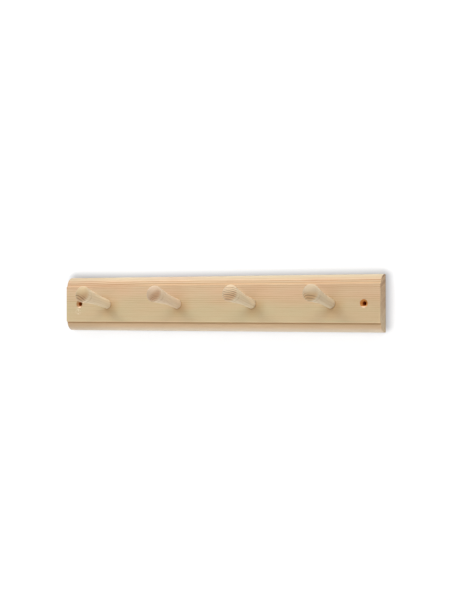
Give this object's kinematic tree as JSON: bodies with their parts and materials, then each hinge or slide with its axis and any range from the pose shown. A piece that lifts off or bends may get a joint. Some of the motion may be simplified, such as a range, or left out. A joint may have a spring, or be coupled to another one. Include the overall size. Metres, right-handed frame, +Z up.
{
  "type": "peg rail",
  "caption": "Moulded pine wall rail in the plain shaker manner, with turned pegs that lean upwards and a countersunk screw hole near each end.",
  "frame": {"origin": "centre of the board's back face, which lies against the wall", "axes": "+X along the rail to the right as seen from the room, +Y into the wall, +Z up"},
  "size_m": [0.45, 0.0811, 0.07],
  "materials": {
    "rail_pine": "planed and sanded pine, unfinished",
    "peg_pine": "turned and sanded softwood, unfinished"
  },
  "bodies": {
    "root": {"rail_board": "rail_pine", "peg_1": "peg_pine", "peg_2": "peg_pine", "peg_3": "peg_pine", "peg_4": "peg_pine"}
  },
  "joints": []
}
